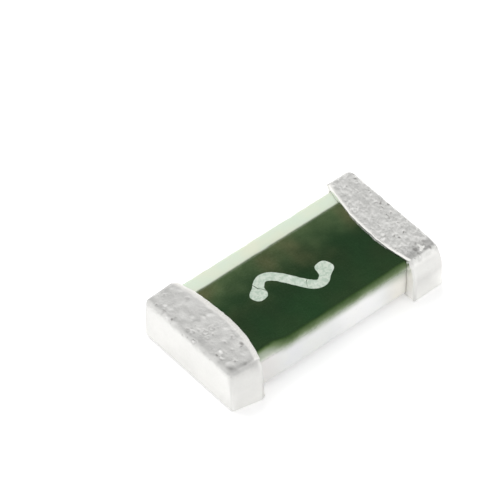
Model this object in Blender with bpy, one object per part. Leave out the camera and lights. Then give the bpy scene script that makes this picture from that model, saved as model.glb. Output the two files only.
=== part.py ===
"""Surface-mount chip fuse of size 1206, built layer by layer as the real one is printed, dipped and plated.

A ceramic plate carries a glass pad, two silver contacts and the necked fuse link between them. A dab of glass
over the neck quenches the arc, and a green coat covers them all. Each end is then wrapped on five faces by
three nested layers: silver paste, a nickel barrier and a tin skin.

The origin is the centre of the footprint on the board. +X runs along the chip, and +Z is up.
"""

import math
from typing import NamedTuple

import bmesh
import bpy
from mathutils import Matrix

# Forms are worked out in millimetres, because Blender's curve fill and bevel merge points closer than
# about 0.03 mm where one unit is a metre. Each form is turned to metres as its object is made.
METRES_PER_MM = 0.001

# The finished chip
CHIP_LENGTH = 3.20
CHIP_WIDTH = 1.60

# Clearance between any two layers, since the films are far thinner than a usual gap
FILM_GAP = 0.002

# Ceramic plate
PLATE_THICKNESS = 0.50
PLATE_EDGE_RADIUS = 0.045

# Fuse link: a printed film with wide ends and a narrow neck that melts
LINK_LENGTH = 1.90
LINK_END_WIDTH = 0.60
LINK_NECK_WIDTH = 0.11
LINK_NECK_LENGTH = 0.30
LINK_TAPER_LENGTH = 0.35
LINK_THICKNESS = 0.012
LINK_LAP = 0.15

# Glass pad under the neck, which keeps its heat from the plate
PAD_WIDTH = 1.00
PAD_THICKNESS = 0.015
PAD_TO_CONTACT = 0.05

# Silver contacts: on the top a wide bar with a tongue to the link, on the underside a bar alone
CONTACT_THICKNESS = 0.012
CONTACT_TUCK = 0.05
TONGUE_WIDTH = 0.80
PRINT_INSET = 0.05

# Dab of glass over the neck
DAB_LENGTH = 1.10
DAB_WIDTH = 0.80
DAB_COVER = 0.020

# Green coat, printed off centre: it laps the plate's front edge and leaves a bare strip along the rear
COAT_THICKNESS = 0.025
COAT_COVER = 0.020
COAT_SHOULDER = 0.060
COAT_TUCK = 0.10
COAT_FRONT_INSET = 0.003
COAT_SWELL_MARGIN = 0.40
BARE_STRIP_WIDTH = 0.238

# Wrapped terminals
SILVER_THICKNESS = 0.025
NICKEL_THICKNESS = 0.006
TIN_THICKNESS = 0.010
TERMINAL_EDGE_RADIUS = 0.050
TERMINAL_CORNER_RADIUS = 0.065

# The dips bulge out at the chip's two sides, by a share that grows down from the top over this height
TERMINAL_BULGE = 0.09
BULGE_HEIGHT = 0.25

# Corner radius of every print in plan
PRINT_CORNER_RADIUS = 0.06

# Fineness of round forms
EDGE_STEPS = 3
CORNER_STEPS = 4
BOW_STEPS = 10
BULGE_STEPS = 4
LINK_TAPER_STEPS = 8
DAB_STEPS_AROUND = 28
DAB_STEPS_UP = 14
COAT_STEPS_LONG = 26
COAT_STEPS_WIDE = 16


class Terminal(NamedTuple):
    """One wrapped end.

    Its inner edge bows towards the middle of the chip, as dipped paste does. Its sides bulge by the full
    amount at that edge, and by a share of it at the chip's end.
    """

    name: str
    side: int
    band: float
    bow_radius: float
    bow_centre: float
    bulge_at_end: float

    def reach(self, across):
        """How far the wrap reaches in from the chip's end, at a place across the chip."""
        offset = across - self.bow_centre
        return self.band - self.bow_radius + math.sqrt(self.bow_radius**2 - offset**2)

    def shortest_reach(self):
        """The wrap's reach at the long side of the chip where it is shortest."""
        return min(self.reach(CHIP_WIDTH / 2), self.reach(-CHIP_WIDTH / 2))

    def bulge(self, x, z):
        """How far the wrap's sides stand out of the plain block, at a place along the chip and a height."""
        inwards = min((CHIP_LENGTH / 2 - abs(x)) / self.shortest_reach(), 1.0)
        below_top = min(max((CHIP_HEIGHT - z) / BULGE_HEIGHT, 0.0), 1.0)
        share = self.bulge_at_end + (1.0 - self.bulge_at_end) * inwards
        return TERMINAL_BULGE * share * math.sin(below_top * math.pi / 2)


TERMINALS = (
    Terminal("left", side=-1, band=0.593, bow_radius=2.44, bow_centre=0.10, bulge_at_end=0.0),
    Terminal("right", side=1, band=0.533, bow_radius=2.89, bow_centre=-0.15, bulge_at_end=0.9),
)

# What follows from the sizes above
TIN_DEPTH = 0.0
NICKEL_DEPTH = TIN_DEPTH + TIN_THICKNESS + FILM_GAP
SILVER_DEPTH = NICKEL_DEPTH + NICKEL_THICKNESS + FILM_GAP
PLATE_DEPTH = SILVER_DEPTH + SILVER_THICKNESS + FILM_GAP
PLATE_LENGTH = CHIP_LENGTH - 2 * PLATE_DEPTH
PLATE_WIDTH = CHIP_WIDTH - 2 * PLATE_DEPTH
PLATE_BOTTOM = PLATE_DEPTH + CONTACT_THICKNESS + FILM_GAP
PLATE_TOP = PLATE_BOTTOM + PLATE_THICKNESS

PRINT_BOTTOM = PLATE_TOP + FILM_GAP
CONTACT_TOP = PRINT_BOTTOM + CONTACT_THICKNESS
PAD_TOP = PRINT_BOTTOM + PAD_THICKNESS
LINK_TOP = max(CONTACT_TOP, PAD_TOP) + FILM_GAP + LINK_THICKNESS
DAB_TOP = LINK_TOP + FILM_GAP + DAB_COVER
COAT_TOP = CONTACT_TOP + FILM_GAP + COAT_THICKNESS
COAT_SWELL = DAB_TOP + FILM_GAP + COAT_COVER - COAT_TOP
COAT_FRONT = -PLATE_WIDTH / 2 + COAT_FRONT_INSET
COAT_REAR = PLATE_WIDTH / 2 - BARE_STRIP_WIDTH
CHIP_HEIGHT = COAT_TOP + PLATE_DEPTH
TONGUE_END = LINK_LENGTH / 2 - LINK_LAP
PAD_LENGTH = 2 * (TONGUE_END - PAD_TO_CONTACT)


def remove_old_objects():
    """Empties the scene that the script is run in."""
    for old in list(bpy.data.objects):
        bpy.data.objects.remove(old, do_unlink=True)


def new_collection(name, parent):
    """A fresh collection inside another, in place of an old one of that name."""
    if old := bpy.data.collections.get(name):
        bpy.data.collections.remove(old)
    group = bpy.data.collections.new(name)
    parent.children.link(group)
    return group


def new_material(name, colour, roughness, metallic=0.0):
    """A Principled material of one colour, roughness and metallic value."""
    if old := bpy.data.materials.get(name):
        bpy.data.materials.remove(old)
    finish = bpy.data.materials.new(name)
    finish.use_nodes = True
    finish.diffuse_color = (*colour, 1.0)
    shader = finish.node_tree.nodes["Principled BSDF"]
    shader.inputs["Base Color"].default_value = (*colour, 1.0)
    shader.inputs["Roughness"].default_value = roughness
    shader.inputs["Metallic"].default_value = metallic
    return finish


def object_from(form, name, group):
    """Turns a form from millimetres to metres and puts it in a collection as an object, shaded smooth."""
    form.transform(Matrix.Scale(METRES_PER_MM, 4))
    bmesh.ops.recalc_face_normals(form, faces=form.faces[:])
    mesh = bpy.data.meshes.new(name)
    form.to_mesh(mesh)
    form.free()
    mesh.shade_smooth()
    mesh.set_sharp_from_angle(angle=math.radians(35))
    thing = bpy.data.objects.new(name, mesh)
    group.objects.link(thing)
    return thing


def new_piece(form, name, finish):
    """A piece of the fuse, in its own material."""
    piece = object_from(form, name, FUSE)
    piece.data.materials.append(finish)
    return piece


def new_cutter(form, name):
    """A shape that only cuts others: drawn as wire and left out of renders."""
    shape = object_from(form, name, CUTTERS)
    shape.display_type = "WIRE"
    shape.hide_render = True
    return shape


def shape_to(piece, spaces):
    """Cuts the spaces of other pieces from a piece, in one exact Boolean that reads them from a collection."""
    group = new_collection(f"cut from {piece.name}", CUTTERS)
    for space in spaces:
        group.objects.link(space)
    step = piece.modifiers.new("shaped to its neighbours", "BOOLEAN")
    step.operation = "DIFFERENCE"
    step.solver = "EXACT"
    step.operand_type = "COLLECTION"
    step.collection = group


def arc(centre, radius, start, end, steps):
    """Points along an arc from one angle to another, both ends included."""
    turns = [start + (end - start) * step / steps for step in range(steps + 1)]
    return [(centre[0] + radius * math.cos(turn), centre[1] + radius * math.sin(turn)) for turn in turns]


def rounded_rectangle(low, high, radius):
    """Outline of a rectangle between two corners, counter-clockwise, with round corners."""
    corners = (
        (high[0] - radius, high[1] - radius, 0.0),
        (low[0] + radius, high[1] - radius, 0.5 * math.pi),
        (low[0] + radius, low[1] + radius, math.pi),
        (high[0] - radius, low[1] + radius, 1.5 * math.pi),
    )
    outline = []
    for x, y, turn in corners:
        outline += arc((x, y), radius, turn, turn + 0.5 * math.pi, CORNER_STEPS)
    return outline


def outline_form(outline, bottom, top, swell=0.0):
    """A solid between two heights, whose rim stands out from a flat outline by a round of the radius swell."""
    curve = bpy.data.curves.new("outline", "CURVE")
    curve.dimensions = "2D"
    curve.fill_mode = "BOTH"
    curve.extrude = (top - bottom) / 2 - swell
    curve.bevel_depth = swell
    curve.bevel_resolution = EDGE_STEPS - 1
    spline = curve.splines.new("POLY")
    spline.points.add(len(outline) - 1)
    for point, (x, y) in zip(spline.points, outline):
        point.co = (x, y, 0.0, 1.0)
    spline.use_cyclic_u = True
    guide = bpy.data.objects.new("outline", curve)
    CUTTERS.objects.link(guide)
    mesh = bpy.data.meshes.new_from_object(guide.evaluated_get(bpy.context.evaluated_depsgraph_get()))
    form = bmesh.new()
    form.from_mesh(mesh)
    bmesh.ops.remove_doubles(form, verts=form.verts[:], dist=FILM_GAP / 20)
    bmesh.ops.translate(form, verts=form.verts[:], vec=(0.0, 0.0, (top + bottom) / 2))
    bpy.data.objects.remove(guide, do_unlink=True)
    bpy.data.curves.remove(curve)
    bpy.data.meshes.remove(mesh)
    return form


def plate_form(grow=0.0):
    """The ceramic plate with every edge rounded, larger all round by grow."""
    form = bmesh.new()
    size = (PLATE_LENGTH + 2 * grow, PLATE_WIDTH + 2 * grow, PLATE_THICKNESS + 2 * grow)
    centre = Matrix.Translation((0.0, 0.0, (PLATE_TOP + PLATE_BOTTOM) / 2))
    bmesh.ops.create_cube(form, size=1.0, matrix=centre @ Matrix.Diagonal((*size, 1.0)))
    bmesh.ops.bevel(
        form,
        geom=form.edges[:],
        offset=PLATE_EDGE_RADIUS + grow,
        segments=EDGE_STEPS,
        profile=0.5,
        affect="EDGES",
    )
    return form


def pad_form(grow=0.0):
    """The glass pad under the link's neck."""
    low = (-PAD_LENGTH / 2 - grow, -PAD_WIDTH / 2 - grow)
    high = (PAD_LENGTH / 2 + grow, PAD_WIDTH / 2 + grow)
    return outline_form(
        rounded_rectangle(low, high, PRINT_CORNER_RADIUS + grow), PRINT_BOTTOM - grow, PAD_TOP + grow
    )


def bar_ends(terminal):
    """Where a contact's bar starts and ends along the chip, as distances from its middle."""
    inner = CHIP_LENGTH / 2 - terminal.shortest_reach() + CONTACT_TUCK
    return inner, PLATE_LENGTH / 2 - PRINT_INSET


def facing(outline, side):
    """An outline drawn for the right end, turned for the given end of the chip and kept counter-clockwise."""
    if side > 0:
        return outline
    return [(-x, y) for x, y in reversed(outline)]


def top_contact_outline(terminal, grow=0.0):
    """A wide bar under the wrap, and a narrower tongue that reaches in under the link's end."""
    bar_inner, bar_outer = bar_ends(terminal)
    half_bar = PLATE_WIDTH / 2 - PRINT_INSET + grow
    half_tongue = TONGUE_WIDTH / 2 + grow
    tip = TONGUE_END - grow
    inner = bar_inner - grow
    outer = bar_outer + grow
    radius = PRINT_CORNER_RADIUS + grow
    inside = PRINT_CORNER_RADIUS - grow
    quarter = 0.5 * math.pi
    outline = arc((outer - radius, half_bar - radius), radius, 0.0, quarter, CORNER_STEPS)
    outline += arc((inner + radius, half_bar - radius), radius, quarter, 2 * quarter, CORNER_STEPS)
    outline += arc((inner - inside, half_tongue + inside), inside, 0.0, -quarter, CORNER_STEPS)
    outline += arc((tip + radius, half_tongue - radius), radius, quarter, 2 * quarter, CORNER_STEPS)
    return facing(outline + [(x, -y) for x, y in reversed(outline)], terminal.side)


def top_contact_form(terminal, grow=0.0):
    """A silver contact printed on the plate's top."""
    return outline_form(top_contact_outline(terminal, grow), PRINT_BOTTOM - grow, CONTACT_TOP + grow)


def bottom_contact_form(terminal, grow=0.0):
    """A silver contact printed on the plate's underside."""
    bar_inner, bar_outer = bar_ends(terminal)
    half_bar = PLATE_WIDTH / 2 - PRINT_INSET + grow
    low = (bar_inner - grow, -half_bar)
    high = (bar_outer + grow, half_bar)
    outline = rounded_rectangle(low, high, PRINT_CORNER_RADIUS + grow)
    top = PLATE_BOTTOM - FILM_GAP
    return outline_form(facing(outline, terminal.side), top - CONTACT_THICKNESS - grow, top + grow)


def link_outline(grow=0.0):
    """The link in plan: half its width rises from the neck to the ends along a smooth step."""
    right = []
    for step in range(LINK_TAPER_STEPS + 1):
        share = step / LINK_TAPER_STEPS
        smooth = share * share * (3.0 - 2.0 * share)
        width = LINK_NECK_WIDTH + (LINK_END_WIDTH - LINK_NECK_WIDTH) * smooth
        right.append((LINK_NECK_LENGTH / 2 + LINK_TAPER_LENGTH * share, -width / 2 - grow))
    right.append((LINK_LENGTH / 2 + grow, -LINK_END_WIDTH / 2 - grow))
    front = [(-x, y) for x, y in reversed(right)] + right
    return front + [(x, -y) for x, y in reversed(front)]


def link_form(grow=0.0):
    """The fuse link as a block down to the plate, before the layers under it are cut away."""
    return outline_form(link_outline(grow), PRINT_BOTTOM - grow, LINK_TOP + grow)


def dab_form(grow=0.0):
    """The glass dab as half an ellipsoid or more, before the layers under it are cut away."""
    form = bmesh.new()
    radii = (DAB_LENGTH / 2 + grow, DAB_WIDTH / 2 + grow, DAB_TOP - PLATE_TOP + grow)
    centre = Matrix.Translation((0.0, 0.0, PLATE_TOP))
    bmesh.ops.create_uvsphere(
        form,
        u_segments=DAB_STEPS_AROUND,
        v_segments=DAB_STEPS_UP,
        radius=1.0,
        matrix=centre @ Matrix.Diagonal((*radii, 1.0)),
    )
    return form


def shoulder(distance):
    """The share of its full height that the coat has at a distance from its edge: a quarter ellipse."""
    run = min(distance / COAT_SHOULDER, 1.0)
    return math.sqrt(max(1.0 - (1.0 - run) ** 2, 0.0))


def swelling(x, y):
    """The share of its full swell that the coat has at a point, from 1 over the dab to 0 well outside it."""
    along = min(abs(x) / (DAB_LENGTH / 2 + COAT_SWELL_MARGIN), 1.0)
    across = min(abs(y) / (DAB_WIDTH / 2 + COAT_SWELL_MARGIN), 1.0)
    return (math.cos(along * math.pi / 2) * math.cos(across * math.pi / 2)) ** 2


def coat_form(grow=0.0):
    """The green coat as a pillow: a grid raised by a formula, with its faces extruded down to a flat base."""
    left, right = (
        terminal.side * (CHIP_LENGTH / 2 - terminal.shortest_reach() + COAT_TUCK) for terminal in TERMINALS
    )
    form = bmesh.new()
    bmesh.ops.create_grid(form, x_segments=COAT_STEPS_LONG, y_segments=COAT_STEPS_WIDE, size=1.0)
    for vertex in form.verts:
        # the sine crowds the grid's lines towards the coat's edges, where its shoulder turns down
        x = (left + right) / 2 + (right - left) / 2 * math.sin(vertex.co.x * math.pi / 2)
        y = (COAT_FRONT + COAT_REAR) / 2 + (COAT_REAR - COAT_FRONT) / 2 * math.sin(vertex.co.y * math.pi / 2)
        to_end = min(x - left, right - x)
        to_side = min(y - COAT_FRONT, COAT_REAR - y)
        height = COAT_TOP - PLATE_TOP + COAT_SWELL * swelling(x, y)
        vertex.co.x = x + grow * vertex.co.x
        vertex.co.y = y + grow * vertex.co.y
        vertex.co.z = PLATE_TOP + grow + height * shoulder(to_end) * shoulder(to_side)
    lower = bmesh.ops.extrude_face_region(form, geom=form.faces[:])
    for vertex in lower["geom"]:
        if isinstance(vertex, bmesh.types.BMVert):
            vertex.co.z = PLATE_TOP - PLATE_EDGE_RADIUS
    return form


def wrap_form(terminal, depth):
    """The full block inside one surface of a wrap, at a depth below the chip's outer surface.

    Every block is the same core outline, swollen by a round of another radius, so that the layers between
    two blocks have an even thickness on the end, the four sides and the bowed inner edge. The block is then
    widened by the bulge of its sides, in proportion to the distance from the chip's middle line.
    """
    half_width = CHIP_WIDTH / 2 - TERMINAL_EDGE_RADIUS
    fillet = TERMINAL_CORNER_RADIUS - TERMINAL_EDGE_RADIUS
    end = CHIP_LENGTH / 2 - TERMINAL_EDGE_RADIUS
    bow_x = CHIP_LENGTH / 2 - terminal.band + terminal.bow_radius
    bow_radius = terminal.bow_radius - TERMINAL_EDGE_RADIUS
    quarter = 0.5 * math.pi

    fillets = []
    for across in (half_width - fillet, fillet - half_width):
        back = math.sqrt((bow_radius - fillet) ** 2 - (across - terminal.bow_centre) ** 2)
        centre = (bow_x - back, across)
        fillets.append((centre, math.atan2(across - terminal.bow_centre, -back) % (2 * math.pi)))
    (rear_centre, rear_turn), (front_centre, front_turn) = fillets

    outline = arc((end - fillet, half_width - fillet), fillet, 0.0, quarter, CORNER_STEPS)
    outline += arc(rear_centre, fillet, quarter, rear_turn, CORNER_STEPS)[:-1]
    outline += arc((bow_x, terminal.bow_centre), bow_radius, rear_turn, front_turn, BOW_STEPS)
    outline += arc(front_centre, fillet, front_turn, 3 * quarter, CORNER_STEPS)[1:]
    outline += arc((end - fillet, fillet - half_width), fillet, 3 * quarter, 4 * quarter, CORNER_STEPS)
    form = outline_form(
        facing(outline, terminal.side), depth, CHIP_HEIGHT - depth, TERMINAL_EDGE_RADIUS - depth
    )
    rim_bottom = CHIP_HEIGHT - TERMINAL_EDGE_RADIUS
    for step in range(1, BULGE_STEPS + 1):
        # each pair of cuts adds rows of corners round the block, so that the bulge can bend there
        share = step / BULGE_STEPS
        level = rim_bottom - (BULGE_HEIGHT - TERMINAL_EDGE_RADIUS) * share
        along = terminal.side * (CHIP_LENGTH / 2 - terminal.shortest_reach() * share)
        for place, facing_way in (((0.0, 0.0, level), (0.0, 0.0, 1.0)), ((along, 0.0, 0.0), (1.0, 0.0, 0.0))):
            whole = form.verts[:] + form.edges[:] + form.faces[:]
            bmesh.ops.bisect_plane(form, geom=whole, plane_co=place, plane_no=facing_way)
    for vertex in form.verts:
        vertex.co.y *= 1.0 + 2.0 * terminal.bulge(vertex.co.x, vertex.co.z) / CHIP_WIDTH
    return form


def build_plate():
    """The ceramic plate, and the space that it fills."""
    new_piece(plate_form(), "substrate", new_material("alumina ceramic", (0.84, 0.86, 0.82), 0.45))
    return new_cutter(plate_form(FILM_GAP), "plate_space")


def build_contacts(silver):
    """Both silver contacts of each end, and the spaces that they fill, top ones first."""
    top_spaces = []
    bottom_spaces = []
    for terminal in TERMINALS:
        new_piece(top_contact_form(terminal), f"top_contact_{terminal.name}", silver)
        new_piece(bottom_contact_form(terminal), f"bottom_contact_{terminal.name}", silver)
        top_spaces.append(
            new_cutter(top_contact_form(terminal, FILM_GAP), f"top_contact_space_{terminal.name}")
        )
        bottom_spaces.append(
            new_cutter(bottom_contact_form(terminal, FILM_GAP), f"bottom_contact_space_{terminal.name}")
        )
    return top_spaces, bottom_spaces


def build_pad(glass):
    """The glass pad, and the space that it fills."""
    new_piece(pad_form(), "heat_barrier_glaze", glass)
    return new_cutter(pad_form(FILM_GAP), "pad_space")


def build_link(under):
    """The fuse link, shaped to the layers under it, and the space that it fills."""
    alloy = new_material("fuse alloy", (0.78, 0.58, 0.42), 0.35, metallic=1.0)
    link = new_piece(link_form(), "fuse_link", alloy)
    shape_to(link, under)
    return new_cutter(link_form(FILM_GAP), "link_space")


def build_dab(glass, under):
    """The arc-quenching glass, shaped to the layers under it, and the space that it fills."""
    dab = new_piece(dab_form(), "arc_quench_glass", glass)
    shape_to(dab, under)
    return new_cutter(dab_form(FILM_GAP), "dab_space")


def build_coat(under):
    """The green coat, shaped to the layers under it, and the space that it fills."""
    green = new_material("green glaze coat", (0.02, 0.045, 0.018), 0.25)
    coat = new_piece(coat_form(), "green_overcoat", green)
    shape_to(coat, under)
    return new_cutter(coat_form(FILM_GAP), "coat_space")


def build_wraps(silver, chip_spaces):
    """The three nested layers of each terminal, from the silver paste out to the tin."""
    nickel = new_material("nickel plating", (0.66, 0.62, 0.55), 0.35, metallic=1.0)
    tin = new_material("matte tin plating", (0.80, 0.79, 0.76), 0.40, metallic=1.0)
    for terminal in TERMINALS:
        paste = new_piece(wrap_form(terminal, SILVER_DEPTH), f"silver_base_{terminal.name}", silver)
        shape_to(paste, chip_spaces)
        layers = (
            ("nickel_barrier", NICKEL_DEPTH, NICKEL_THICKNESS, nickel),
            ("tin_plating", TIN_DEPTH, TIN_THICKNESS, tin),
        )
        for name, depth, thickness, finish in layers:
            inside = wrap_form(terminal, depth + thickness)
            hollow = new_cutter(inside, f"{name}_hollow_{terminal.name}")
            layer = new_piece(wrap_form(terminal, depth), f"{name}_{terminal.name}", finish)
            shape_to(layer, [hollow, *chip_spaces])


def build_fuse():
    """All the pieces, from the plate outwards, each shaped to those under it."""
    silver = new_material("printed silver", (0.75, 0.74, 0.71), 0.45, metallic=1.0)
    glass = new_material("fired glass", (0.72, 0.78, 0.74), 0.15)
    plate_space = build_plate()
    top_spaces, bottom_spaces = build_contacts(silver)
    pad_space = build_pad(glass)
    link_space = build_link([pad_space, *top_spaces])
    dab_space = build_dab(glass, [plate_space, pad_space, link_space])
    coat_space = build_coat([plate_space, pad_space, *top_spaces, link_space, dab_space])
    build_wraps(silver, [plate_space, *top_spaces, *bottom_spaces, coat_space])


remove_old_objects()
FUSE = new_collection("chip_fuse", bpy.context.scene.collection)
CUTTERS = new_collection("cutters", bpy.context.scene.collection)
build_fuse()
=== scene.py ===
"""Finishes a surface-mount chip fuse: its ceramic plate, green coat, printed mark and plated ends.

Sizes are in metres unless a name or a note says millimetres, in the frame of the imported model: +X along the
chip, +Z up from the board.
"""

import itertools
import math
from typing import NamedTuple

import bmesh
import bpy
import numpy as np
from bpy.props import FloatProperty, FloatVectorProperty, PointerProperty
from mathutils import Matrix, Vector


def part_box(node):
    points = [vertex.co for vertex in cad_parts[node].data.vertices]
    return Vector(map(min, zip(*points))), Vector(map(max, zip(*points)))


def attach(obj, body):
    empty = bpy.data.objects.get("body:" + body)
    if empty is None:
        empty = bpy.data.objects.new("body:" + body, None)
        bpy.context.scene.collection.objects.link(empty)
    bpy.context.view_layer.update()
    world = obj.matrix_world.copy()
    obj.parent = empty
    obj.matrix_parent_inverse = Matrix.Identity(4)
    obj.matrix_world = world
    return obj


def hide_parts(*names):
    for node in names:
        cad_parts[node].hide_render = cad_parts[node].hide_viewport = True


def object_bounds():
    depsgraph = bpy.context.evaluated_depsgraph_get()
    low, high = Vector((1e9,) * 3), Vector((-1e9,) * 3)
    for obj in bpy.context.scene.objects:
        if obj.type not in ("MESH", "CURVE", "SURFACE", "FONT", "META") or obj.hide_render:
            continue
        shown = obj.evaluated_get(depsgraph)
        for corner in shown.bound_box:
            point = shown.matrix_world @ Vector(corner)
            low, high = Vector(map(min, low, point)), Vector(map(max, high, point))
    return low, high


bl_info = {
    "name": "Chip Fuse Finish",
    "version": (1, 0, 0),
    "blender": (4, 5, 0),
    "location": "View3D > Sidebar > Chip Fuse",
    "description": "Builds the visible surfaces and finishes of a surface-mount chip fuse",
    "category": "Object",
}

MM = 0.001
QUARTER = math.pi / 2

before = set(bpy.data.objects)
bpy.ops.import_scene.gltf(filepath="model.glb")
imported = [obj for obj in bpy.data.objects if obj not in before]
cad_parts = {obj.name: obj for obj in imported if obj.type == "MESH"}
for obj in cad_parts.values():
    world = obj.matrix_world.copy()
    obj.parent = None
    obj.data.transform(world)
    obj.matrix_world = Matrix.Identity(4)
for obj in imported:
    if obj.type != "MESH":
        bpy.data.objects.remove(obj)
CAD_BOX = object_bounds()


def span(node):
    """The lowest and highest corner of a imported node."""
    low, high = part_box(node)
    return np.array(low), np.array(high)


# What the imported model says
CHIP_HIGH = np.array(CAD_BOX[1])
PLATE_LOW, PLATE_HIGH = span("substrate")
COAT_LOW, COAT_HIGH = span("green_overcoat")
DAB_HIGH = span("arc_quench_glass")[1]
LINK_HIGH = span("fuse_link")[1]
CONTACT_TOP = span("top_contact_left")[1][2]
PLATE_TOP = PLATE_HIGH[2]
PLATE_HALF = (PLATE_HIGH - PLATE_LOW) / 2
PLATE_MIDDLE = (PLATE_HIGH[2] + PLATE_LOW[2]) / 2
COAT_REAR = COAT_HIGH[1]

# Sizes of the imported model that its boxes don't give
PLATE_EDGE_RADIUS = 0.045 * MM
WRAP_EDGE_RADIUS = 0.050 * MM
WRAP_CORNER_RADIUS = 0.065 * MM
WRAP_BULGE = 0.09 * MM
BULGE_HEIGHT = 0.25 * MM
COAT_OVER_CONTACTS = 0.027 * MM
COAT_SHOULDER = 0.060 * MM
COAT_SWELL_MARGIN = 0.40 * MM
LAYER_GAP = 0.002 * MM

# Sizes of the finished surfaces alone
COAT_FILM_IN_FRONT = 0.0025 * MM
COAT_REACH_DOWN = 0.045 * MM
COAT_BED_GAP = 0.0005 * MM
COAT_FOOT_FILM = 0.0006 * MM
INK_EDGE_SINK = 0.0006 * MM
LEAST_FILM = 0.004 * MM
LEAST_RADIUS = 0.004 * MM
DEEPEST_SAG = 0.020 * MM
DEEPEST_GRAIN = 0.009 * MM

FLAT_COAT_TOP = CONTACT_TOP + COAT_OVER_CONTACTS
HALF_WIDTH = PLATE_HIGH[1] + CHIP_HIGH[0] - PLATE_HIGH[0]


# Patterns


def smooth_step(low, high, value):
    """0 below low, 1 above high and 3t^2 - 2t^3 between them."""
    share = np.clip((value - low) / (high - low), 0.0, 1.0)
    return share * share * (3.0 - 2.0 * share)


def eased(count):
    """Shares from 0 to 1, closer together towards both ends: half of 1 less the cosine of a half turn."""
    return (1.0 - np.cos(np.linspace(0.0, math.pi, count))) / 2.0


def bell(distance):
    """A bell curve: e to the power of minus the distance squared."""
    return np.exp(-(distance**2))


def points_of(x, y, z):
    """Points whose coordinates are spread over one grid."""
    return np.stack(np.broadcast_arrays(x, y, z), axis=-1)


def cell_value(cell, seed):
    """A repeatable value from 0 to 1 for each cell of a lattice: its indices times large primes, with the
    bits folded over twice."""
    mixed = cell[..., 0] * 73856093 + cell[..., 1] * 19349663 + cell[..., 2] * 83492791 + seed * 2654435
    mixed = (mixed ^ (mixed >> 15)) * 739391 & 0x7FFFFFFF
    mixed = (mixed ^ (mixed >> 13)) * 314159 & 0x7FFFFFFF
    return (mixed & 0xFFFFF) / 0xFFFFF


def cloud(points, cell_mm, seed):
    """Smooth noise from -1 to 1: the values of the eight cells round a point, each weighted by 3t^2 - 2t^3
    along the three axes."""
    place = points / (cell_mm * MM)
    base = np.floor(place).astype(np.int64)
    part = smooth_step(0.0, 1.0, place - base)
    total = 0.0
    for corner in itertools.product((0, 1), repeat=3):
        weight = np.prod(np.where(np.array(corner) == 1, part, 1.0 - part), axis=-1)
        total = total + weight * cell_value(base + np.array(corner), seed)
    return 2.0 * total - 1.0


def nearest_dot(points, cell_mm, seed):
    """Distance to the nearest of the dots scattered one to a cell, in cells, and that dot's own value."""
    place = points / (cell_mm * MM)
    base = np.floor(place).astype(np.int64)
    nearest = np.full(points.shape[:-1], np.inf)
    value = np.zeros(points.shape[:-1])
    for step in itertools.product((-1, 0, 1), repeat=3):
        cell = base + np.array(step)
        dot = cell + np.stack([cell_value(cell, seed + axis) for axis in range(3)], axis=-1)
        distance = np.linalg.norm(dot - place, axis=-1)
        value = np.where(distance < nearest, cell_value(cell, seed + 3), value)
        nearest = np.minimum(distance, nearest)
    return nearest, value


# The two wrapped ends


class Wrap(NamedTuple):
    """One wrapped end. Its inner edge is an arc whose centre lies off the chip's middle line, and its sides
    bulge in full at that edge and by a share of it at the chip's end. Wrinkled says how much of its grain
    is folds and grooves, creep how much further it reaches in towards the front, and flare along the sides.
    Slope is the length of its rim's sloping run, tilt that run's angle, and fall how far its top sinks
    towards the bare strip. Painted_end_shade says how much painted shade darkens its top along the end
    face, and painted_side_light how bright its sides are painted at their foot, middle, shoulder and top,
    as painted light and shade. Each of its marks is a lump or dent: its place and its two half widths in
    millimetres, its height and how much lighter it is."""

    name: str
    side: int
    bow_radius: float
    bow_centre: float
    bulge_at_end: float
    wrinkled: float
    creep: float
    flare: float
    slope: float
    tilt: float
    fall: float
    painted_end_shade: float
    painted_side_light: tuple
    marks: tuple
    seed: int

    @property
    def bead(self):
        """How wide the smooth bead along the inner edge is."""
        return self.slope + 0.014 * MM

    def cloud(self, points, cell_mm, step):
        """Smooth noise of this wrap's own."""
        return cloud(points, cell_mm, self.seed + step)

    def reach(self, across):
        """How far the wrap reaches in from the chip's end, at a place across it: the arc's height there."""
        low, high = span(f"tin_plating_{self.name}")
        band = high[0] - low[0]
        return band - self.bow_radius + np.sqrt(self.bow_radius**2 - (across - self.bow_centre) ** 2)

    def bulge(self, x, z):
        """How far the sides stand out of the plain block: a share that grows evenly from the end to the
        inner edge, times the sine of the depth below the top."""
        inwards = (CHIP_HIGH[0] - self.side * x) / min(self.reach(HALF_WIDTH), self.reach(-HALF_WIDTH))
        below_top = np.clip((CHIP_HIGH[2] - z) / BULGE_HEIGHT, 0.0, 1.0)
        share = self.bulge_at_end + (1.0 - self.bulge_at_end) * np.clip(inwards, 0.0, 1.0)
        return WRAP_BULGE * share * np.sin(below_top * QUARTER)


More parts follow.
